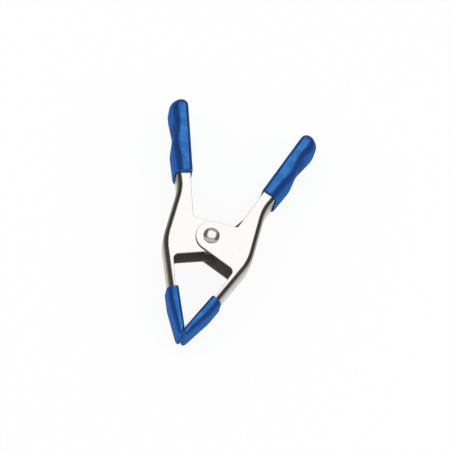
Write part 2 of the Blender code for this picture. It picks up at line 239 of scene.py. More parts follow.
print("rounds of a sleeve's back in mm:",
      [round(radius / MM, 1) for place, radius in shifted(back_corners(), SLEEVE_STEP, False)])


# %% Hand tools for edit mode
def alone(*objects):
    """Select these objects and nothing else."""
    bpy.ops.object.select_all(action="DESELECT")
    for obj in objects:
        obj.select_set(True)
    bpy.context.view_layer.objects.active = objects[0]


@contextmanager
def editing(obj):
    """Go into edit mode with everything selected, and come back at the end."""
    alone(obj)
    bpy.ops.object.mode_set(mode="EDIT")
    bpy.ops.mesh.select_mode(type="VERT")
    bpy.ops.mesh.select_all(action="SELECT")
    yield
    bpy.ops.object.mode_set(mode="OBJECT")


def choose(obj, kind, wanted):
    """In edit mode, select the verts, edges or faces that pass a test."""
    kinds = ("verts", "edges", "faces")
    bpy.ops.mesh.select_all(action="DESELECT")
    bpy.context.tool_settings.mesh_select_mode = [kind == name for name in kinds]
    shape = bmesh.from_edit_mesh(obj.data)
    shape.normal_update()
    for item in getattr(shape, kind):
        item.select_set(wanted(item))
    shape.select_flush_mode()
    bmesh.update_edit_mesh(obj.data)


print("modelling by hand in Blender", bpy.app.version_string)


# %% Hand tools that finish a move
def pull(offset):
    bpy.ops.mesh.extrude_region_move(TRANSFORM_OT_translate={"value": tuple(offset)})


def face_out():
    bpy.ops.mesh.select_all(action="SELECT")
    bpy.ops.mesh.normals_make_consistent(inside=False)


def apply_modifier(obj, kind, **settings):
    modifier = obj.modifiers.new(kind.lower(), kind)
    for name, value in settings.items():
        setattr(modifier, name, value)
    alone(obj)
    bpy.ops.object.modifier_apply(modifier=modifier.name)


def settle(obj):
    """Leave the object at the origin, unturned, with its place in its mesh."""
    alone(obj)
    bpy.ops.object.transform_apply(location=True, rotation=True, scale=True)
    return obj


print("each move first picks what it works on, whatever was selected before")


# %% Turn corners into runs and rounds
def runs_and_rounds(corners, closed):
    """For each corner: where its round starts and ends, its centre and its turn."""
    runs = []
    for index, (place, radius) in enumerate(corners):
        if radius <= 0 or not closed and index in (0, len(corners) - 1):
            runs.append((place, place, None, 0.0))
            continue
        before = (place - corners[index - 1][0]).normalized()
        after = (corners[(index + 1) % len(corners)][0] - place).normalized()
        turn = math.atan2(before.cross(after), before.dot(after))
        setback = radius * math.tan(abs(turn) / 2)
        start = place - before * setback
        centre = start - outward(before) * math.copysign(radius, turn)
        runs.append((start, place + after * setback, centre, turn))
    return runs


back_turns = [turn for start, end, centre, turn in runs_and_rounds(back_corners(), False)]
print("turns along the back in degrees:", [round(math.degrees(turn)) for turn in back_turns])

# %% A pen that draws with extrude and spin
ARC_STEP = math.radians(3.0)
WELD = 0.001 * MM
NO_RUN = 1e-7              # metres, too short to draw


def draw(name, corners, closed=True, side=1, z=0.0, arc_step=ARC_STEP):
    """Draw an outline from its corners. side=-1 draws its mirror image."""
    runs = runs_and_rounds(corners, closed)
    here = runs[0][1]
    bpy.ops.object.select_all(action="DESELECT")
    bpy.ops.mesh.primitive_plane_add(size=MM, location=(side * here.x, here.y, z))
    outline = bpy.context.object
    outline.name = outline.data.name = name
    with editing(outline):
        bpy.ops.mesh.merge(type="CENTER")
        for start, end, centre, turn in runs[1:] + (runs[:1] if closed else []):
            if (start - here).length > NO_RUN:
                pull((side * (start.x - here.x), start.y - here.y, 0.0))
            if centre is not None:
                # With no window, spin turns the other way about its axis.
                bpy.ops.mesh.spin(steps=max(2, math.ceil(abs(turn) / arc_step)), angle=-side * turn,
                                  center=(side * centre.x, centre.y, z), axis=(0, 0, 1))
            here = end
        bpy.ops.mesh.select_all(action="SELECT")
        bpy.ops.mesh.remove_doubles(threshold=WELD)
        if closed:
            bpy.ops.mesh.edge_face_add()
    return settle(outline)


print("a square corner's round is drawn in", math.ceil(math.pi / 2 / ARC_STEP), "steps")

# %% [markdown]
# ## The levers
#
# A real lever starts as a flat blank. A press bends both long sides up into cheeks, so the section
# is a channel, and a channel is stiff for its weight. In Blender the blank could be bent, but
# bending stretches it. It is easier to draw the line of the back, pull it up to a wall, pull its
# two long edges inwards as cheeks, and round the two bends. Then the strip gets the sheet's
# thickness, and one prism of the plan trims the ear, the handle and the jaw at one stroke, as a
# blanking die does. A drill through both ears makes the rivet's holes.

# %% A die to trim with
REACH_PAST = 20.0 * MM
DIE_CLEAR = 0.06 * MM      # the die runs just outside the back, which is already in shape


def lever_corners():
    back = shifted(back_corners(), DIE_CLEAR, closed=False)
    return back[:-1] + handle_end_corners() + ear_corners() + jaw_inner_corners()[::-1]


def prism(name, corners, low, high, side=1):
    """An outline, filled and pulled up to a solid."""
    solid = draw(name, corners, side=side, z=low)
    with editing(solid):
        pull((0, 0, high - low))
        face_out()
    return solid


def cut(obj, tool, operation="DIFFERENCE"):
    apply_modifier(obj, "BOOLEAN", operation=operation, object=tool, solver="EXACT")
    bpy.data.objects.remove(tool)


print("the die has", len(lever_corners()), "corners")

# %% Press a strip into a channel
BEND_CUTS = 14
BEND_LIMIT = 0.5           # cosine, between the back and a cheek
SAME = 1e-6                # metres


def press_strip(hand, low, high):
    """The sheet of a lever, before it is trimmed: a back and two broad cheeks."""
    side = SIDES[hand]
    strip = draw(f"{hand}_pressed_lever", back_corners(REACH_PAST, REACH_PAST), closed=False,
                 side=side, z=low, arc_step=ARC_STEP / 2)
    with editing(strip):
        pull((0, 0, high - low))
        for level in (low, high):
            choose(strip, "edges", lambda edge: len(edge.link_faces) == 1 and all(
                abs(vert.co.z - level) < SAME for vert in edge.verts))
            pull((-side * (BACK_REACH + REACH_PAST), 0, 0))
        choose(strip, "edges", lambda edge: len(edge.link_faces) == 2 and abs(
            edge.link_faces[0].normal.dot(edge.link_faces[1].normal)) < BEND_LIMIT)
        bpy.ops.mesh.bevel(offset=BACK_ROUND, segments=BEND_CUTS, affect="EDGES")
        face_out()
    return strip


print("a bend is pressed in", BEND_CUTS, "flats of", round(90 / BEND_CUTS, 1), "degrees")

# %% Thicken, trim and drill the levers
DRILL_SIDES = 96


def press_lever(hand):
    side, half = SIDES[hand], half_channel[hand]
    low, high = MIDDLE_Z - half, MIDDLE_Z + half
    lever = press_strip(hand, low, high)
    wall = max(lever.data.polygons, key=lambda face: abs(face.normal.x) * face.area)
    if wall.normal.x * side < 0:
        with editing(lever):
            bpy.ops.mesh.flip_normals()
    apply_modifier(lever, "SOLIDIFY", thickness=SHEET, offset=-1.0, use_even_offset=True)
    die = prism("die", lever_corners(), low - REACH_PAST, high + REACH_PAST, side)
    cut(lever, die, "INTERSECT")
    bpy.ops.mesh.primitive_cylinder_add(vertices=DRILL_SIDES, radius=HOLE_RADIUS, depth=4 * half,
                                        location=(0, 0, MIDDLE_Z))
    cut(lever, bpy.context.object)
    return lever


levers = {hand: press_lever(hand) for hand in SIDES}
for hand, lever in levers.items():
    print(hand, "lever:", len(lever.data.polygons), "faces")

# %% [markdown]
# ## The sleeves
#
# A vinyl sleeve is a dipped or moulded sock: an even skin, soft rounds, a rolled lip at its mouth
# and a closed, rounded end. A box with bevels would keep the same round everywhere. A loft fits
# better: one rounded section is pulled along the sleeve ring by ring, and each ring is stretched to
# the plan, so the swells for the hand come out of the same move. A second, smaller loft is the
# hollow. Bridging the two mouths closes the skin into one solid with a real wall.

# %% Rings of a loft
END_STEPS = 12
LAST_RING = 0.02 * MM      # before the very end, where a ring would shrink to a line
LEVEL_EDGE = 1e-9


def span_at(guide, level):
    """Where an outline crosses a level: its lowest and its highest x."""
    places = []
    for edge in guide.data.edges:
        low, high = sorted((guide.data.vertices[index].co for index in edge.vertices),
                           key=lambda place: place.y)
        if low.y <= level <= high.y and high.y - low.y > LEVEL_EDGE:
            places.append(low.x + (high.x - low.x) * (level - low.y) / (high.y - low.y))
    return min(places), max(places)


def sleeve_levels(start, first, end, step, end_round):
    """One long step over the mouth, then even steps, then closer ones round the end."""
    way = math.copysign(1, end - start)
    straight = abs(end - first) - end_round
    count = round(straight / step)
    even = [first + way * straight * number / count for number in range(count)]
    turned = [end - way * end_round * (1 - math.sin(math.pi / 2 * number / END_STEPS))
              for number in range(END_STEPS)]
    return [start] + even + turned + [end - way * LAST_RING]


print("a closed end is rounded in", END_STEPS, "rings")

# %% Loft a section along a guide
SECTION_STEP = math.radians(5)


def loft(name, guide, levels, half_height, back_round, edge_round, end_round):
    """Pull a rounded section through the levels of a guide and stretch each ring to the guide."""
    end, height = levels[-1], half_height
    inner, outer = span_at(guide, levels[0])
    section = [(Vector((outer, -height)), back_round), (Vector((outer, height)), back_round),
               (Vector((inner, height)), edge_round), (Vector((inner, -height)), edge_round)]
    shell = draw(name, section, arc_step=SECTION_STEP)
    shell.rotation_euler.x = math.pi / 2
    shell.location = (0, levels[0], MIDDLE_Z)
    settle(shell)
    with editing(shell):
        for before, level in zip(levels, levels[1:]):
            pull((0, level - before, 0))
            inside = max(0.0, end_round - abs(end - level))
            new_height = half_height - end_round + math.sqrt(end_round ** 2 - inside ** 2)
            new_inner, new_outer = span_at(guide, level)
            bpy.ops.transform.resize(
                value=((new_outer - new_inner) / (outer - inner), 1, new_height / height),
                center_override=(inner, level, MIDDLE_Z))
            bpy.ops.transform.translate(value=(new_inner - inner, 0, 0))
            inner, outer, height = new_inner, new_outer, new_height
    bpy.data.objects.remove(guide)
    return shell


print("a sleeve's rounds are drawn in steps of", round(math.degrees(SECTION_STEP)), "degrees")

# %% Close two lofts into one skin
LIP_ROUND = 0.35 * MM
LIP_SLOPE = 0.2 * MM
MOUTH_SLANT = 0.035        # the mouths are trimmed by hand, a little higher in front


def skin(outer, hollow, mouth, run):
    """Cut two lofts at the mouth, bridge them there and round the lip."""
    mouth, run = Vector((*mouth, MIDDLE_Z)), Vector((*run, -MOUTH_SLANT)).normalized()
    for shell, depth in ((outer, 0.0), (hollow, LIP_SLOPE)):
        with editing(shell):
            bpy.ops.mesh.bisect(plane_co=mouth + run * depth, plane_no=run, clear_inner=True)
    alone(outer, hollow)
    bpy.ops.object.join()

    def along_lip(edge):
        depths = [(vert.co - mouth).dot(run) for vert in edge.verts]
        return max(depths) < LIP_SLOPE + SAME and abs(depths[0] - depths[1]) < SAME

    with editing(outer):
        choose(outer, "edges", lambda edge: len(edge.link_faces) == 1)
        bpy.ops.mesh.bridge_edge_loops()
        face_out()
        choose(outer, "edges", along_lip)
        bpy.ops.mesh.bevel(offset=LIP_ROUND, segments=3, affect="EDGES")
    return outer


def to_side(obj, side):
    """Mirror a right-hand piece for the left-hand lever."""
    if side < 0:
        obj.scale.x = -1
        settle(obj)
        with editing(obj):
            face_out()
    return obj


slant = 2 * half_channel["right"] * MOUTH_SLANT / MM
print("a mouth is", round(slant, 2), "mm higher in front than behind")

# %% Plan of a handle grip
GRIP_END_WALL = 1.95 * MM
GRIP_BACK_ROUND = 7.0 * MM
GRIP_EDGE_ROUND = 2.4 * MM
GRIP_END_ROUND = 4.5 * MM
GRIP_INNER_CORNER = 4.0 * MM


def grip_corners(past, step, inner_corner):
    """The plan of the handle in its own frame: X out of the straight back, Y up from the bend."""
    taper = (HANDLE_END_DEPTH - HANDLE_ROOT_DEPTH) / HANDLE_LENGTH
    end = HANDLE_LENGTH + past
    waves = [(Vector((rise, HANDLE_LENGTH - station)), WAVE_ROUND) for station, rise in WAVE]
    corners = ([(Vector((-HANDLE_ROOT_DEPTH, 0)), 0.0), (Vector((0, 0)), 0.0)] + waves
               + [(Vector((HEEL_RISE, end)), HANDLE_OUTER_CORNER),
                  (Vector((-HANDLE_ROOT_DEPTH - taper * end, end)), inner_corner)])
    return shifted(corners, step)


print("a grip has", len(grip_corners(0.0, SLEEVE_STEP, GRIP_INNER_CORNER)), "corners in plan")

# %% Make the two handle grips
GRIP_RING_STEP = 1.2 * MM
GRIP_LOFT_STARTS = -1.5 * MM       # from the mouth, so that there is skin to trim
GRIP_RINGS_START = 1.7 * MM


def make_grip(hand):
    mouth = GRIP_MOUTH_AT - HANDLE_BEND.dot(HANDLE_UP)
    start, first = mouth + GRIP_LOFT_STARTS, mouth + GRIP_RINGS_START
    past = GRIP_END_WALL - SLEEVE_WALL
    outer = loft(f"{hand}_moulded_grip",
                 draw("guide", grip_corners(past, SLEEVE_STEP, GRIP_INNER_CORNER)),
                 sleeve_levels(start, first, HANDLE_LENGTH + past + SLEEVE_STEP, GRIP_RING_STEP,
                               HANDLE_OUTER_CORNER + SLEEVE_STEP),
                 half_channel["right"] + SLEEVE_STEP, GRIP_BACK_ROUND,
                 GRIP_EDGE_ROUND, GRIP_END_ROUND)
    hollow = loft("hollow", draw("guide", grip_corners(0.0, SLEEVE_FIT, HANDLE_INNER_CORNER)),
                  sleeve_levels(start, first, HANDLE_LENGTH + SLEEVE_FIT, GRIP_RING_STEP,
                                HANDLE_OUTER_CORNER + SLEEVE_FIT),
                  half_channel[hand] + SLEEVE_FIT, BACK_ROUND + SLEEVE_FIT,
                  SLEEVE_FIT, SLEEVE_FIT)
    grip = skin(outer, hollow, (0, mouth), (0, 1))
    grip.rotation_euler.z = -HANDLE_LEAN
    grip.location = (*HANDLE_BEND, 0)
    return to_side(settle(grip), SIDES[hand])


grips = {hand: make_grip(hand) for hand in SIDES}
for hand, grip in grips.items():
    print(hand, "grip:", len(grip.data.polygons), "faces")

# %% [markdown]
# ## The jaw tips
#
# The jaws wear shorter sleeves, which hold the work without marking it. They are lofted in the same
# way, along the jaw arm. The spring presses the two soft pads together, where a loft would leave
# them apart. A sculpted dent would be too much for that: the skin next to the seam is stretched
# until the pads all but touch.

# %% Plan and pads of a jaw tip
TIP_SOFT_CORNER = 1.8 * MM
PRESS_REACH = 0.6 * MM
PRESSED_PLANE = 0.03 * MM  # from the middle of the closed jaws to a pressed pad


def tip_corners(past, step, corner):
    """The plan of a jaw, moved outwards by a step, with its end further down and rounded."""
    back = back_corners(0.0, past)[:2]
    top = [(on_jaw(ARM_ROOT[0]), 0.0), (on_jaw(*ARM_ROOT), 0.0)]
    corners = shifted(back + top + jaw_inner_corners(past)[::-1], step)
    return [(corners[0][0], corner)] + corners[1:-1] + [(corners[-1][0], corner)]


def press_pad(tip, side):
    """Stretch the skin next to the seam towards the other pad."""
    stretch = (PRESS_REACH - PRESSED_PLANE) / (PRESS_REACH - PAD_PLANE)
    with editing(tip):
        choose(tip, "verts", lambda vert: abs(vert.co.x) < PRESS_REACH)
        bpy.ops.transform.resize(value=(stretch, 1, 1),
                                 center_override=(side * PRESS_REACH, 0, 0))
    return tip


print("pads before and after pressing:", [round(2 * plane / MM, 2) for plane in
                                          (PAD_PLANE, PRESSED_PLANE)], "mm apart")

# %% Make the two jaw tips
TIP_END_WALL = 3.0 * MM
TIP_EDGE_ROUND = 2.0 * MM
TIP_END_ROUND = 2.8 * MM
TIP_RING_STEP = 1.0 * MM
TIP_LOFT_STARTS = -4.0 * MM        # along Y, from the level of the slanted mouth's middle
TIP_RINGS_START = -11.5 * MM


def make_tip(hand):
    start, first = -TIP_MOUTH_AT + TIP_LOFT_STARTS, -TIP_MOUTH_AT + TIP_RINGS_START
    outer = loft(f"{hand}_moulded_tip",
                 draw("guide", tip_corners(TIP_END_WALL - SLEEVE_WALL, SLEEVE_STEP,
                                           TIP_SOFT_CORNER)),
                 sleeve_levels(start, first, TIP_END_Y, TIP_RING_STEP, TIP_END_ROUND),
                 half_channel["right"] + SLEEVE_STEP, BACK_ROUND + SLEEVE_STEP,
                 TIP_EDGE_ROUND, TIP_END_ROUND)
    hollow = loft("hollow", draw("guide", tip_corners(0.0, SLEEVE_FIT, 0.0)),
                  sleeve_levels(start, first, -(JAW_REACH + SLEEVE_FIT), TIP_RING_STEP,
                                SLEEVE_FIT),
                  half_channel[hand] + SLEEVE_FIT, BACK_ROUND + SLEEVE_FIT,
                  SLEEVE_FIT, SLEEVE_FIT)
    tip = skin(outer, hollow, JAW_DOWN * TIP_MOUTH_AT, JAW_DOWN)
    return press_pad(to_side(tip, SIDES[hand]), SIDES[hand])


tips = {hand: make_tip(hand) for hand in SIDES}
for hand, tip in tips.items():
    print(hand, "jaw tip:", len(tip.data.polygons), "faces")

# %% [markdown]
# ## The rivet
#
# The rivet is a turned pin: a low button head in front, a shank through both pairs of ears, and a
# tail that is spread over the rear ear with a punch, which leaves a dimple. Anything turned is
# quickest as half a profile, spun once round the axis.

# %% Profile of the rivet
HEAD_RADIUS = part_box("pivot_rivet")[1].x
HEAD_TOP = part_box("pivot_rivet")[1].z
HEAD_RIM = 0.75 * MM
HEAD_RIM_ROUND = 0.8 * MM
CROWN_RADIUS = 3.3 * MM
CROWN_ROUND = 7.0 * MM
TAIL_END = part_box("pivot_rivet")[0].z
TAIL_RIM = 0.8 * MM
TAIL_TAPER = 0.3 * MM
SHANK_RADIUS = 3.0 * MM
SEAT = half_channel["right"] + SEAT_GAP
DIMPLE_RADIUS = 2.1 * MM
DIMPLE_DEPTH = 0.8 * MM
DIMPLE_FLOOR = 0.6         # share of the dimple that is flat


def rivet_corners():
    """Half the rivet, from the middle of the tail to the middle of the head.

    Each corner has its distance from the axis, its height and its round."""
    head, tail = MIDDLE_Z + SEAT, MIDDLE_Z - SEAT
    return [(Vector((radius, height)), rounding) for radius, height, rounding in (
        (0, TAIL_END + DIMPLE_DEPTH, 0),
        (DIMPLE_RADIUS * DIMPLE_FLOOR, TAIL_END + DIMPLE_DEPTH, 0.5 * MM),
        (DIMPLE_RADIUS, TAIL_END, 0.3 * MM),
        (HEAD_RADIUS - TAIL_TAPER, TAIL_END, 0.6 * MM),
        (HEAD_RADIUS, TAIL_END + TAIL_RIM, 0.4 * MM),
        (HEAD_RADIUS, tail, 0), (SHANK_RADIUS, tail, 0),
        (SHANK_RADIUS, head, 0), (HEAD_RADIUS, head, 0),
        (HEAD_RADIUS, head + HEAD_RIM, HEAD_RIM_ROUND),
        (CROWN_RADIUS, HEAD_TOP, CROWN_ROUND),
        (0, HEAD_TOP, 0))]


print("the rivet is", round((HEAD_TOP - TAIL_END) / MM, 2), "mm long")

# %% Turn the rivet
TURN_STEPS = 96
PROFILE_STEP = math.radians(4)
SEAM_WELD = 0.002 * MM


def turn_rivet():
    turned = draw("pivot_button_rivet", rivet_corners(), closed=False, arc_step=PROFILE_STEP)
    turned.rotation_euler.x = math.pi / 2
    settle(turned)
    with editing(turned):
        bpy.ops.mesh.spin(steps=TURN_STEPS, angle=2 * math.pi, center=(0, 0, 0), axis=(0, 0, 1))
        bpy.ops.mesh.select_all(action="SELECT")
        bpy.ops.mesh.remove_doubles(threshold=SEAM_WELD)
        face_out()
    return turned


rivet = turn_rivet()
print("rivet:", [round(value / MM, 2) for value in rivet.dimensions], "mm")

# %% [markdown]
# ## The spring
#
# The torsion spring is hidden in the channels, round the rivet. One leg presses on the inside of
# each lever's back. It is one length of wire, so its route is worked out as points: leg, coil, leg.
# A curve with a round bevel follows them, and the curve becomes a mesh.

# %% Bend a leg of the spring
WIRE_RADIUS = 1.25 * MM
LEG_FOOT_AT = 12.0 * MM
LEG_FOOT_LENGTH = 6.0 * MM
LEG_FOOT_ROUND = 6.0 * MM
LEG_DEPTH = SHEET + SEAT_GAP + WIRE_RADIUS
LEG_BEND_POINTS = 8


def leg_points(foot_start, foot_end, tangent):
    """From the foot's end, round one bend, to where the leg meets the coil."""
    before, after = (foot_start - foot_end).normalized(), (tangent - foot_start).normalized()
    turn = before.angle_signed(after)
    setback = LEG_FOOT_ROUND * math.tan(abs(turn) / 2)
    start, end = foot_start - before * setback, foot_start + after * setback
    points = [foot_end, start]
    for number in range(1, LEG_BEND_POINTS + 1):
        share = number / LEG_BEND_POINTS
        # A quadratic bend is within a hair of the round at this small turn.
        points.append(start * (1 - share) ** 2 + foot_start * 2 * share * (1 - share)
                      + end * share ** 2)
    return points


print("the middle of the wire lies", round(LEG_DEPTH / MM, 2), "mm inside the back")

# %% Route of the spring's wire
COIL_RADIUS = 5.8 * MM
COIL_PITCH = 2.8 * MM
COIL_FULL_TURNS = 4
COIL_STEP = math.radians(6)


def spring_route():
    """Front leg, coil and rear leg, as one line of points."""
    foot_start = on_handle(LEG_FOOT_AT, -LEG_DEPTH)
    foot_end = on_handle(LEG_FOOT_AT + LEG_FOOT_LENGTH, -LEG_DEPTH)
    leaves_at = math.atan2(foot_start.y, foot_start.x) - math.acos(COIL_RADIUS / foot_start.length)
    tangent = Vector((math.cos(leaves_at), math.sin(leaves_at))) * COIL_RADIUS
    sweep = 2 * math.pi * COIL_FULL_TURNS + math.pi + 2 * leaves_at
    height = COIL_PITCH * sweep / (2 * math.pi)
    leg = leg_points(foot_start, foot_end, tangent)
    front, rear = MIDDLE_Z + height / 2, MIDDLE_Z - height / 2
    route = [Vector((*point, front)) for point in leg]
    steps = round(sweep / COIL_STEP)
    for number in range(steps + 1):
        angle = leaves_at - sweep * number / steps
        route.append(Vector((COIL_RADIUS * math.cos(angle), COIL_RADIUS * math.sin(angle),
                             front - height * number / steps)))
    return route + [Vector((-point.x, point.y, rear)) for point in reversed(leg)]


route = spring_route()
wire_length = sum((after - before).length for before, after in zip(route, route[1:]))
print("the spring takes", round(wire_length / MM), "mm of wire")


# %% Wind the spring
def wind_spring(route):
    wire = bpy.data.curves.new("wound_spring", "CURVE")
    wire.dimensions = "3D"
    wire.bevel_depth = WIRE_RADIUS
    wire.bevel_resolution = 6
    wire.use_fill_caps = True
    spline = wire.splines.new("POLY")
    spline.points.add(len(route) - 1)
    for target, point in zip(spline.points, route):
        target.co = (*point, 1.0)
    wound = bpy.data.objects.new("wound_spring", wire)
    bpy.context.scene.collection.objects.link(wound)
    alone(wound)
    bpy.ops.object.convert(target="MESH")
    wound = bpy.context.object
    with editing(wound):
        bpy.ops.mesh.remove_doubles(threshold=SEAM_WELD)
        bpy.ops.mesh.normals_make_consistent(inside=False)
    return wound


spring = wind_spring(route)
print("spring:", [round(value / MM, 1) for value in spring.dimensions], "mm")

# %% [markdown]
# ## Edges and shading
#
# Sheared steel is never knife sharp: the tumbling before plating rounds every edge a little. A
# narrow bevel on the sharp edges does the same. Weighted normals keep the large flats flat, so
# that they mirror the studio evenly.

# %% Soften the steel's edges
SHEARED_EDGE = 0.40 * MM
SHARP_EDGE = math.radians(50)
FLAT_ENOUGH = math.radians(0.2)
STEEL_SMOOTH, RIVET_SMOOTH, SOFT_SMOOTH = (math.radians(angle) for angle in (30, 40, 60))


def smooth(obj, angle):
    alone(obj)
    bpy.ops.object.shade_smooth_by_angle(angle=angle)


for lever in levers.values():
    with editing(lever):
        bpy.ops.mesh.dissolve_limited(angle_limit=FLAT_ENOUGH)
    apply_modifier(lever, "BEVEL", width=SHEARED_EDGE, segments=2, limit_method="ANGLE",
                   angle_limit=SHARP_EDGE, use_clamp_overlap=False)
    smooth(lever, STEEL_SMOOTH)
    apply_modifier(lever, "WEIGHTED_NORMAL", keep_sharp=True)
for soft in (*grips.values(), *tips.values(), spring):
    smooth(soft, SOFT_SMOOTH)
smooth(rivet, RIVET_SMOOTH)
print("lever faces:", [len(lever.data.polygons) for lever in levers.values()])

# %% [markdown]
# ## Materials as expressions
#
# A finish is maths on the surface's position. Written as nodes alone it is hard to read, so a small
# class wraps a node's output and lends it the signs of arithmetic. A graph makes the nodes, and a
# finish is a graph that feeds the shader of one material.


# %% Signs of arithmetic for nodes
class Wire:
    """The output of a node, for use in an expression."""

    def __init__(self, graph, socket):
        self.graph, self.socket = graph, socket

    def __add__(self, other):
        return self.graph.maths("ADD", self, other)

    def __radd__(self, other):
        return self.graph.maths("ADD", other, self)

    def __sub__(self, other):
        return self.graph.maths("SUBTRACT", self, other)

    def __rsub__(self, other):
        return self.graph.maths("SUBTRACT", other, self)

    def __mul__(self, other):
        return self.graph.maths("MULTIPLY", self, other)

    def __rmul__(self, other):
        return self.graph.maths("MULTIPLY", other, self)


print("wires can be added, subtracted and multiplied, and so can a wire and a number")


# %% A graph of nodes
class Graph:
    """A tree of shader nodes that is written as expressions."""

    def __init__(self, tree):
        self.tree = tree

    def join(self, wire, socket):
        self.tree.links.new(wire.socket, socket)

    def node(self, kind, settings=None, values=None, output=0):
        node = self.tree.nodes.new(kind)
        for name, value in (settings or {}).items():
            setattr(node, name, value)
        for socket, value in (values or {}).items():
            if isinstance(value, Wire):
                self.join(value, node.inputs[socket])
            else:
                node.inputs[socket].default_value = value
        return Wire(self, node.outputs[output])

    def maths(self, operation, first, second):
        return self.node("ShaderNodeMath", {"operation": operation}, {0: first, 1: second})

    def size(self, value):
        """A value without its sign."""
        return self.maths("ABSOLUTE", value, 0.0)

    def step(self, value, low, high):
        """A soft step from 0 to 1."""
        return self.node("ShaderNodeMapRange", {"interpolation_type": "SMOOTHSTEP"}, {
            "Value": value, "From Min": low, "From Max": high})


def colour(red, green, blue):
    return red, green, blue, 1.0


print("a graph offers", ", ".join(name for name in vars(Graph) if not name.startswith("_")))


# %% A finish for the surface of a piece
class Finish(Graph):
    """One procedural material and the Principled shader that it feeds."""

    def __init__(self, name, **constants):
        self.material = bpy.data.materials.new(name)
        self.material.use_nodes = True
        super().__init__(self.material.node_tree)
        self.shader = self.tree.nodes["Principled BSDF"]
        for socket, value in constants.items():
            self.set(socket.replace("_", " "), value)

    def set(self, socket, value):
        if isinstance(value, Wire):
            self.join(value, self.shader.inputs[socket])
        else:
            self.shader.inputs[socket].default_value = value

    def place(self, stretch=(1, 1, 1)):
        """The position on the piece, in metres, stretched along each axis."""
        coordinates = self.node("ShaderNodeTexCoord", output="Object")
        return self.node("ShaderNodeVectorMath", {"operation": "MULTIPLY"},
                         {0: coordinates, 1: stretch})

    def noise(self, size, detail=3.0, stretch=(1, 1, 1)):
        """Clouds of this size, from 0 to 1."""
        return self.node("ShaderNodeTexNoise", {}, {
            "Vector": self.place(stretch), "Scale": 1 / size, "Detail": detail})

    def noted(self, name):
        """A value that was written on the piece itself."""
        return self.node("ShaderNodeAttribute", {"attribute_name": name}, output="Fac")

    def mix(self, share, first, second):
        return self.node("ShaderNodeMix", {"data_type": "RGBA"}, {0: share, 6: first, 7: second},
                         output=2)

    def bump(self, height, distance):
        self.set("Normal", self.node("ShaderNodeBump", {}, {
            "Strength": 1.0, "Distance": distance, "Height": height}))

    def give(self, *objects):
        for obj in objects:
            obj.data.materials.clear()
            obj.data.materials.append(self.material)
        print(self.material.name, "covers", ", ".join(obj.name for obj in objects))


# %% [markdown]
# ### Bright nickel
#
# Nickel plate is a mirror with a warm tint. Under it the sheet keeps the fine grain of the rolling
# mill, which runs along the lever, so the grain is noise stretched far along Y. The inside of a
# channel is rougher, and painted darker as painted shade. The backs are painted tan, darker towards
# the bends, as a painted reflection of the shaded floor. The bends are painted dark, a painted
# reflection of the dark studio sides, and the cut edges of the cheeks are painted dark as painted
# shade. Each face is told once which of these it takes.


# %% Notes on the faces of a piece
def ease(value, low, high):
    share = min(1.0, max(0.0, (value - low) / (high - low)))
    return share * share * (3 - 2 * share)


def note_faces(obj, name, rule):
    values = obj.data.attributes.new(name, "FLOAT", "FACE").data
    for face in obj.data.polygons:
        values[face.index].value = float(rule(face.center, face.normal))
    marked = sum(note.value > 0 for note in values)
    print(obj.name, "has", marked, "faces that are", name)


# %% What a normal tells
# The painted shade inside the wider, right-hand channel and the painted reflection on its back are
# a little lighter, and its bends are painted dark over a narrower turn.
INSIDE_SHADE = {"left": 1.0, "right": 0.9}
BACK_SHADE = {"left": 1.0, "right": 0.75}
BENT_STARTS = (8, 20)      # degrees of turn away from the cheek
BENT_ENDS = {"left": (55, 80), "right": (40, 65)}
# A normal's part along an axis, from 0 to 1, tells how far a face looks that way.
LEVEL = 1e-6
UPRIGHT = 0.02
SIDEWAYS = 0.05
MOSTLY = 0.5
FLAT = 0.9
OUT_STARTS, OUT_FULL = 0.6, 0.9
INSIDE_CLEAR, EDGE_CLEAR = 0.1 * MM, 0.02 * MM
print("a face counts as a back from", round(math.degrees(math.asin(OUT_STARTS))),
      "degrees of turn away from the cheek")

# %% Tell the faces of a lever apart
for hand, lever in levers.items():
    side, half = SIDES[hand], half_channel[hand]
    inner = half - SHEET

    def is_inside(centre, normal):
        """The face looks into the channel, from under a cheek or from under the back."""
        height = centre.z - MIDDLE_Z
        looks_in = normal.z * height < -LEVEL and abs(normal.z) > UPRIGHT
        under_cheek = looks_in and abs(height) < half - SHEET / 2
        under_back = abs(height) < inner - INSIDE_CLEAR and normal.x * side < -MOSTLY
        return INSIDE_SHADE[hand] if under_cheek or under_back else 0.0

    def is_back(centre, normal):
        """The face looks outwards."""
        share = (normal.x * side - OUT_STARTS) / (OUT_FULL - OUT_STARTS)
        return BACK_SHADE[hand] * min(1.0, max(0.0, share))

    def is_bent(centre, normal):
        """The face lies on the outside of the bend between the back and a cheek."""
        outer_face = normal.x * side >= SIDEWAYS and normal.z * (centre.z - MIDDLE_Z) >= 0
        if abs(normal.z) < LEVEL or not outer_face:
            return 0.0
        turn = math.degrees(math.acos(min(1.0, abs(normal.z))))
        return ease(turn, *BENT_STARTS) * (1 - ease(turn, *BENT_ENDS[hand]))

    def is_sheared(centre, normal):
        """The face is the cut edge of a cheek."""
        return (abs(normal.z) < FLAT and abs(centre.z - MIDDLE_Z) > inner - EDGE_CLEAR
                and normal.x * side < MOSTLY)

    for name, rule in (("inside", is_inside), ("back", is_back), ("bent", is_bent),
                       ("sheared", is_sheared)):
        note_faces(lever, name, rule)

# %% Bright nickel plate
nickel = Finish("bright_nickel", Metallic=1.0)
inside, back, bent, sheared = (nickel.noted(name) for name in
                               ("inside", "back", "bent", "sheared"))
clouds = nickel.noise(14 * MM)
grain = nickel.noise(0.35 * MM, 2.0, (1, 0.03, 1))
streaks = nickel.noise(2.5 * MM, 3.0, (1, 0.12, 1))
scratches = nickel.step(nickel.noise(0.9 * MM, 4.0, (1, 0.08, 0.5)), 0.60, 0.72)
height = nickel.node("ShaderNodeSeparateXYZ", {}, {0: nickel.place()}, output="Z")
near_bend = nickel.step(nickel.size(height - MIDDLE_Z), 2.0 * MM, 8.0 * MM)

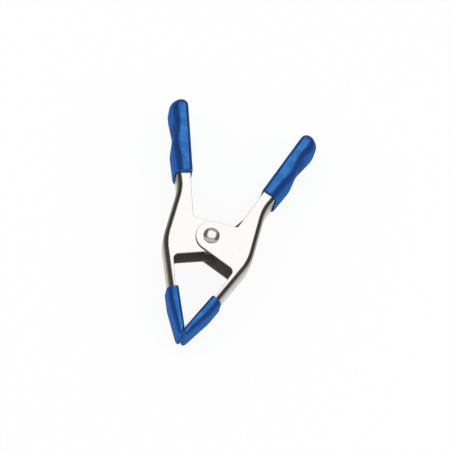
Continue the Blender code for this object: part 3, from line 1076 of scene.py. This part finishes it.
bright = nickel.mix(clouds, colour(0.70, 0.69, 0.67), colour(0.75, 0.74, 0.72))
# The backs are painted tan, with streaks, as a painted reflection of the shaded floor beside the
# clamp.
tan = nickel.mix(nickel.step(streaks, 0.35, 0.65), colour(0.36, 0.345, 0.27),
                 colour(0.57, 0.55, 0.45))
# The backs are painted darker towards the bends, as part of the same painted reflection.
dull = nickel.mix(0.8 * near_bend, tan, colour(0.15, 0.142, 0.105))
# The cut edges of the cheeks are painted dark, as painted shade.
edge_shade_colour = nickel.mix(clouds, colour(0.16, 0.15, 0.13), colour(0.26, 0.25, 0.22))
# The bends between the back and the cheeks are painted dark, a painted reflection of the dark
# studio sides.
plate = nickel.mix(bent, nickel.mix(back, bright, dull), colour(0.175, 0.168, 0.137))
plate = nickel.mix(sheared, plate, edge_shade_colour)
# The inside of a channel is painted darker, as painted shade, and made rougher.
nickel.set("Base Color", nickel.mix(inside, plate, colour(0.36, 0.34, 0.31)))
nickel.set("Roughness", 0.16 + 0.05 * clouds + 0.05 * scratches
           + 0.40 * inside + 0.12 * back + 0.25 * sheared)
nickel.bump(grain + 0.4 * scratches, 0.002 * MM)
nickel.give(*levers.values())

# %% [markdown]
# ### Rivet and spring
#
# The rivet is polished by the tool that sets it, so it is smoother and a little darker than the
# levers, with a faint stain. The spring's wire is drawn, hardened and oiled: dark steel under a
# thin, uneven coat.

# %% Rivet steel
head = Finish("turned_rivet_steel", Metallic=1.0)
stain = head.noise(3 * MM)
head.set("Base Color", head.mix(stain, colour(0.64, 0.63, 0.60), colour(0.73, 0.72, 0.69)))
head.set("Roughness", 0.10 + 0.08 * stain)
head.bump(head.noise(0.25 * MM), 0.003 * MM)
head.give(rivet)

# %% Oiled spring wire
drawn = Finish("oiled_spring_wire", Metallic=1.0, Coat_Roughness=0.2)
oil = drawn.noise(4 * MM)
drawn.set("Base Color", drawn.mix(oil, colour(0.10, 0.10, 0.11), colour(0.18, 0.17, 0.16)))
drawn.set("Roughness", 0.30 + 0.15 * oil)
drawn.set("Coat Weight", 0.3 + 0.4 * oil)
drawn.bump(drawn.noise(0.3 * MM), 0.004 * MM)
drawn.give(spring)

# %% [markdown]
# ### Blue vinyl
#
# The sleeves are soft, semi-gloss vinyl. Their bends are painted a deeper blue than the flats, as
# painted shade, and so are the closed end of a grip and the hollow of its wave. Each point of the
# skin is told how much painted shade it takes, from the way the skin has turned there.


# %% Notes on the points of a piece
def note_points(obj, name, rule):
    values = obj.data.attributes.new(name, "FLOAT", "POINT").data
    for vert in obj.data.vertices:
        values[vert.index].value = rule(vert.co, vert.normal)
    mean = sum(note.value for note in values) / len(values)
    print(obj.name, "is", round(100 * mean), "percent", name)


def crest(from_end):
    """The handle's wave: 1 on a crest, -1 in the hollow between, by distance from the end."""
    top, hollow, heel = (station for station, rise in WAVE)
    if from_end > hollow:
        return 2 * ease(from_end, hollow, top) - 1
    return 1 - 2 * ease(from_end, heel, hollow)


# %% Where the blue takes painted shade
DEPTH_STARTS, DEPTH_FULL = 14, 28         # degrees of turn away from the flat side
BACK_STARTS, BACK_FULL = 50, 70
SIDE_STARTS, SIDE_FULL = 64, 86
WAVE_SHIFT = 9                            # degrees per crest of the wave
BACK_SHIFT = 4                            # degrees, all along the handle's back
SHADE_LAG = 6.5 * MM                      # the painted shade trails the wave of the outline by this much
RIM_SHIFT = 12                            # degrees, along the edges that face each other
# The closed end of a grip and the hollow of its wave take painted shade as well.
END_SHADE_FULL, END_SHADE_ENDS = 3.0 * MM, 7.5 * MM
END_SHADE_DEPTH = 0.6
NOTCH_DEPTH = 0.8
FACING_STARTS, FACING_FULL = 0.2, 0.7     # of a normal, towards a paler direction
print("the blue deepens from", DEPTH_STARTS, "to", DEPTH_FULL, "degrees of turn")


# %% Tell how much painted shade the blue takes
def painted_shade_rule(side, out, paler, end=None):
    """Most painted shade on the bends; less again where the skin faces one of the paler directions.
    """
    def rule(place, normal):
        turn = math.degrees(math.acos(min(1.0, abs(normal.z))))
        flat = Vector((normal.x * side, normal.y))
        flat = flat.normalized() if flat.length > LEVEL else Vector((0, 0))
        from_end = end(place) if end else None
        shift = RIM_SHIFT
        if flat.dot(out) > 0:
            shift = BACK_SHIFT + WAVE_SHIFT * crest(from_end - SHADE_LAG) if end else 0.0
        facing = ease(max(flat.dot(way) for way in paler), FACING_STARTS, FACING_FULL)
        pale_again = (facing * ease(turn + shift, BACK_STARTS, BACK_FULL)
                      + (1 - facing) * ease(turn, SIDE_STARTS, SIDE_FULL))
        deep = ease(turn + shift, DEPTH_STARTS, DEPTH_FULL) * (1 - pale_again)
        if not end:
            return deep
        # The hollow of the wave and the closed end are painted darker, as painted shade.
        notch = (NOTCH_DEPTH * facing * ease(-crest(from_end), 0.0, 1.0)
                 * ease(turn, DEPTH_STARTS, BACK_STARTS))
        end_shade = END_SHADE_DEPTH * (1 - ease(from_end, END_SHADE_FULL, END_SHADE_ENDS))
        return max(deep, notch, end_shade)
    return rule


# The closed end of a grip is painted darker, as painted shade, over its last stretch.
print("vinyl pools over the last", round(END_SHADE_ENDS / MM, 1), "mm of a grip")

# %% Tell where the vinyl is rubbed and painted darker
WORN_STARTS, WORN_FULL = 0.5, 0.9         # of a normal, towards a rubbed direction


def worn_rule(side, ways):
    """1 where the sleeve is rubbed rough and painted darker as shade: on its back, and at the jaw's
    very end.
    """
    return lambda place, normal: ease(
        max(normal.x * side * way.x + normal.y * way.y for way in ways), WORN_STARTS, WORN_FULL)


print("a skin that turns within", round(math.degrees(math.acos(WORN_FULL))),
      "degrees of a rubbed side is dull all over")

# %% Note painted shade, and rubbed sides painted darker, on the sleeves
handle_out, jaw_out = outward(HANDLE_UP), -outward(JAW_DOWN)

for hand, side in SIDES.items():
    def from_handle_end(place, side=side):
        along = (Vector((place.x * side, place.y)) - HANDLE_BEND).dot(HANDLE_UP)
        return HANDLE_LENGTH + GRIP_END_WALL - along

    note_points(grips[hand], "deep", painted_shade_rule(side, handle_out, [handle_out], from_handle_end))
    note_points(tips[hand], "deep", painted_shade_rule(side, jaw_out, [jaw_out, JAW_DOWN]))
    note_points(grips[hand], "worn", worn_rule(side, [handle_out]))
    note_points(tips[hand], "worn", worn_rule(side, [jaw_out, JAW_DOWN]))

# %% Blue vinyl
vinyl = Finish("dipped_blue_vinyl", Specular_IOR_Level=0.25)
deep, worn = vinyl.noted("deep"), vinyl.noted("worn")
mottle = vinyl.noise(6 * MM)
flat_blue = vinyl.mix(vinyl.step(mottle, 0.35, 0.65), colour(0.009, 0.132, 0.44),
                      colour(0.030, 0.190, 0.55))
# The backs and the jaws' ends are rubbed rougher, and painted a darker blue as painted shade.
skin_blue = vinyl.mix(worn, flat_blue, colour(0.004, 0.095, 0.36))
# The bends, the hollow of the wave and the closed ends are painted deep navy, as painted shade.
vinyl.set("Base Color", vinyl.mix(deep, skin_blue, colour(0.0, 0.035, 0.185)))
vinyl.set("Roughness", 0.36 + 0.12 * mottle + 0.40 * worn)
vinyl.bump(vinyl.noise(0.5 * MM) + 2.0 * vinyl.noise(5 * MM), 0.02 * MM)
vinyl.give(*grips.values(), *tips.values())

# %% [markdown]
# ## Joining the pieces to the moving model
#
# Each piece but the spring takes the place of its plain solid and moves with that solid's body. The
# spring takes the place of its plain solid too, but is fixed where it stands.

# %% Ride and replace
for hand in SIDES:
    for piece, node, finish in ((levers[hand], "lever", "nickel_plate"),
                                (grips[hand], "grip", "blue_vinyl"),
                                (tips[hand], "jaw_tip", "blue_vinyl")):
        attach(piece, f"{hand}_side")
        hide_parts(f"{hand}_{node}")
        print(piece.name, "takes the place of", f"{hand}_{node}")
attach(rivet, "left_side")
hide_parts("pivot_rivet")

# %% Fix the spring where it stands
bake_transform(spring)
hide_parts("torsion_spring")

# %% [markdown]
# ## The studio
#
# Bright metal shows its surroundings, so the surroundings are the light. One square softbox stands
# where the flat cheeks mirror it. The sides are left dark, and the bends draw them as crisp lines.
# A long lens from a steep angle shows the plan of the clamp, and the depth of its channels.

# %% Camera
LENS = 135
SENSOR = 36
FRAME_WIDTH = 295 * MM
TILT = math.radians(24.2)
ROLL = math.radians(16.1)
AIM = (6.6 * MM, 8.25 * MM)
view_run = Vector((0, math.sin(TILT), -math.cos(TILT)))
across, upward = Vector((1, 0, 0)), Vector((0, math.cos(TILT), math.sin(TILT)))
target = Vector((0, 0, HEAD_TOP)) + across * AIM[0] + upward * AIM[1]
distance = FRAME_WIDTH * LENS / SENSOR
right = across * math.cos(ROLL) + upward * math.sin(ROLL)
top = upward * math.cos(ROLL) - across * math.sin(ROLL)

camera_data = bpy.data.cameras.new("camera")
camera_data.lens, camera_data.sensor_width = LENS, SENSOR
camera = bpy.data.objects.new("camera", camera_data)
bpy.context.scene.collection.objects.link(camera)
camera.location = target - view_run * distance
camera.rotation_euler = Matrix((right, top, -view_run)).transposed().to_euler()
bpy.context.scene.camera = camera
print("the camera stands", round(distance, 2), "m away")


# %% Lamps
def softbox(name, direction, distance, size, level, mirrored=True):
    """A square lamp that faces the clamp. Its power grows with its face, to keep its level."""
    lamp = bpy.data.lights.new(name, "AREA")
    lamp.shape = "SQUARE"
    lamp.size = size
    lamp.energy = level * math.pi * size ** 2
    obj = bpy.data.objects.new(name, lamp)
    bpy.context.scene.collection.objects.link(obj)
    obj.location = direction.normalized() * distance
    obj.rotation_euler = direction.to_track_quat("Z", "Y").to_euler()
    obj.visible_glossy = mirrored
    obj.visible_camera = False
    print(name, "gives", round(lamp.energy, 2), "W")


cheeks_mirror = Vector((0, math.sin(TILT), math.cos(TILT)))
softbox("overhead_softbox", cheeks_mirror, distance=0.7, size=0.42, level=0.92)
for hand, side in SIDES.items():
    softbox(f"{hand}_fill", Vector((side, -0.2, 0.5)), distance=0.9, size=0.6, level=1.6,
            mirrored=False)

# %% [markdown]
# ## The white background
#
# The floor is white paper. More light would make it white, but would burn out the steel as well. So
# to the camera, and in mirrors, it mostly glows with plain white, and a small share of it is real
# paper, which keeps a soft shadow under the clamp.


# %% Parts of a background
def light(graph, brightness):
    return graph.node("ShaderNodeEmission", {}, {"Color": colour(1, 1, 1), "Strength": brightness})


def ray(graph, kind):
    return graph.node("ShaderNodeLightPath", output=f"Is {kind} Ray")


def either(graph, first, *others):
    for other in others:
        first = graph.maths("MAXIMUM", first, other)
    return first


print("white is a strength of 1 in the Standard view")

# %% Floor
FLOOR_SIZE = 6.0
FLOOR_BELOW = 0.05 * MM
FLOOR_SHOWS = 0.08         # share of the floor that takes shadows
bpy.ops.object.select_all(action="DESELECT")
bpy.ops.mesh.primitive_plane_add(size=FLOOR_SIZE, location=(0, 0, -FLOOR_BELOW))
floor = bpy.context.object
floor.name = "floor"
paper = Finish("white_floor", Roughness=0.8)
paper.set("Base Color", colour(0.95, 0.95, 0.95))
seen = either(paper, *(ray(paper, kind) for kind in ("Camera", "Glossy", "Transmission")))
surface = paper.node("ShaderNodeMixShader", {}, {
    0: (1 - FLOOR_SHOWS) * seen, 1: Wire(paper, paper.shader.outputs[0]), 2: light(paper, 1.0)})
paper.join(surface, paper.tree.nodes["Material Output"].inputs["Surface"])
paper.give(floor)

# %% Surroundings
DARK_WALLS = (0.34, 0.48)  # how far to either side a dark wall starts and is full
DARK_FROM = (-0.20, -0.05) # how far up the page it starts and is full
FRONT_FROM = (0.15, -0.25) # the surroundings grow lighter towards the jaws
BACK_LEVEL, FRONT_LIFT, WALL_DARKENS = 0.46, 0.24, 0.64
FILL_LEVEL = 0.75          # of the light that mirrors don't show

world = bpy.data.worlds.new("studio")
world.use_nodes = True
bpy.context.scene.world = world
studio = Graph(world.node_tree)
run = studio.node("ShaderNodeTexCoord", output="Generated")
run_x, run_y = (studio.node("ShaderNodeSeparateXYZ", {}, {0: run}, output=axis) for axis in "XY")
dark_side = studio.step(studio.size(run_x), *DARK_WALLS) * studio.step(run_y, *DARK_FROM)
front = studio.step(run_y, *FRONT_FROM)
mirror_level = (BACK_LEVEL + FRONT_LIFT * front) * (1 - WALL_DARKENS * dark_side)
level = FILL_LEVEL + ray(studio, "Glossy") * (mirror_level - FILL_LEVEL)
seen_white = either(studio, ray(studio, "Camera"), ray(studio, "Transmission"))
level = level + seen_white * (1.0 - level)
studio.join(light(studio, level), studio.tree.nodes["World Output"].inputs["Surface"])
print("the surroundings have", len(studio.tree.nodes), "nodes")

# %% Look
bpy.context.scene.view_settings.view_transform = "Standard"
print("colours are shown by the", bpy.context.scene.view_settings.view_transform, "view")
